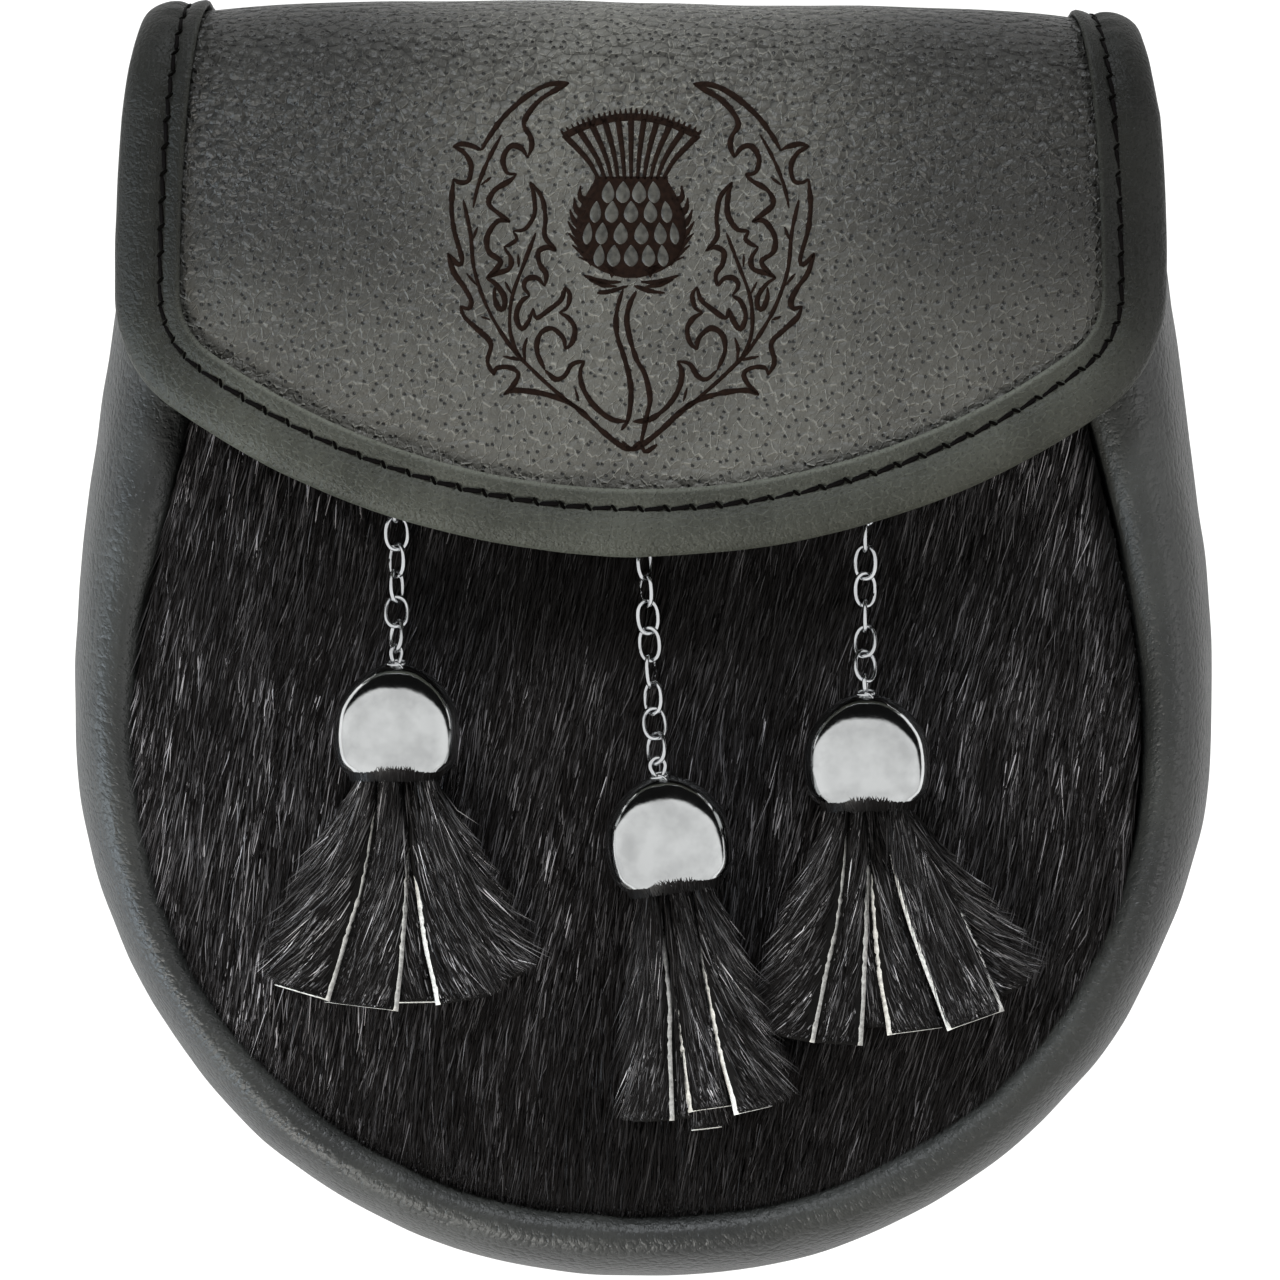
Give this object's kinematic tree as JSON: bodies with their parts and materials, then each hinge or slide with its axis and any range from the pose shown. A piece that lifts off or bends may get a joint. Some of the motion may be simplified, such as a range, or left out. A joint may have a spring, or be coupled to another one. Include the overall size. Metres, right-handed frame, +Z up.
{
  "type": "sporran pouch",
  "caption": "Hollow leather day sporran pouch with a domed fur front, a bound flap folded over its mouth and chain-hung fur tassels, lying on its back.",
  "frame": {"origin": "on the surface that the pouch lies on, under the middle of its outline", "axes": "+X to the right as the front is looked at, +Y to the fold at the top, +Z up, out of the fur front"},
  "size_m": [0.18, 0.1998, 0.0472],
  "materials": {
    "pouch_leather": "soft satin grain, dark grey",
    "flap_leather": "pored pigskin grain, dark grey",
    "binding_leather": "satin, dark grey",
    "fur": "glossy short black fur on hide",
    "strip_hide": "short black fur on hide with pale cut edges",
    "chrome": "polished",
    "steel_wire": "bright plated wire"
  },
  "bodies": {
    "root": {"back_panel": "pouch_leather", "gusset": "pouch_leather", "front_panel": "fur", "flap": "flap_leather", "flap_binding": "binding_leather", "press_stud": "steel_wire", "chain_left_loop": "steel_wire", "chain_left_link_1": "steel_wire", "chain_left_link_2": "steel_wire", "chain_left_link_3": "steel_wire", "chain_left_link_4": "steel_wire", "chain_left_link_5": "steel_wire", "chain_left_link_6": "steel_wire", "chain_left_link_7": "steel_wire", "tassel_left_eye": "steel_wire", "tassel_left_cap": "chrome", "tassel_left_strips": "strip_hide", "chain_middle_loop": "steel_wire", "chain_middle_link_1": "steel_wire", "chain_middle_link_2": "steel_wire", "chain_middle_link_3": "steel_wire", "chain_middle_link_4": "steel_wire", "chain_middle_link_5": "steel_wire", "chain_middle_link_6": "steel_wire", "chain_middle_link_7": "steel_wire", "chain_middle_link_8": "steel_wire", "chain_middle_link_9": "steel_wire", "chain_middle_link_10": "steel_wire", "tassel_middle_eye": "steel_wire", "tassel_middle_cap": "chrome", "tassel_middle_strips": "strip_hide", "chain_right_loop": "steel_wire", "chain_right_link_1": "steel_wire", "chain_right_link_2": "steel_wire", "chain_right_link_3": "steel_wire", "chain_right_link_4": "steel_wire", "chain_right_link_5": "steel_wire", "chain_right_link_6": "steel_wire", "chain_right_link_7": "steel_wire", "chain_right_link_8": "steel_wire", "tassel_right_eye": "steel_wire", "tassel_right_cap": "chrome", "tassel_right_strips": "strip_hide"}
  },
  "joints": []
}
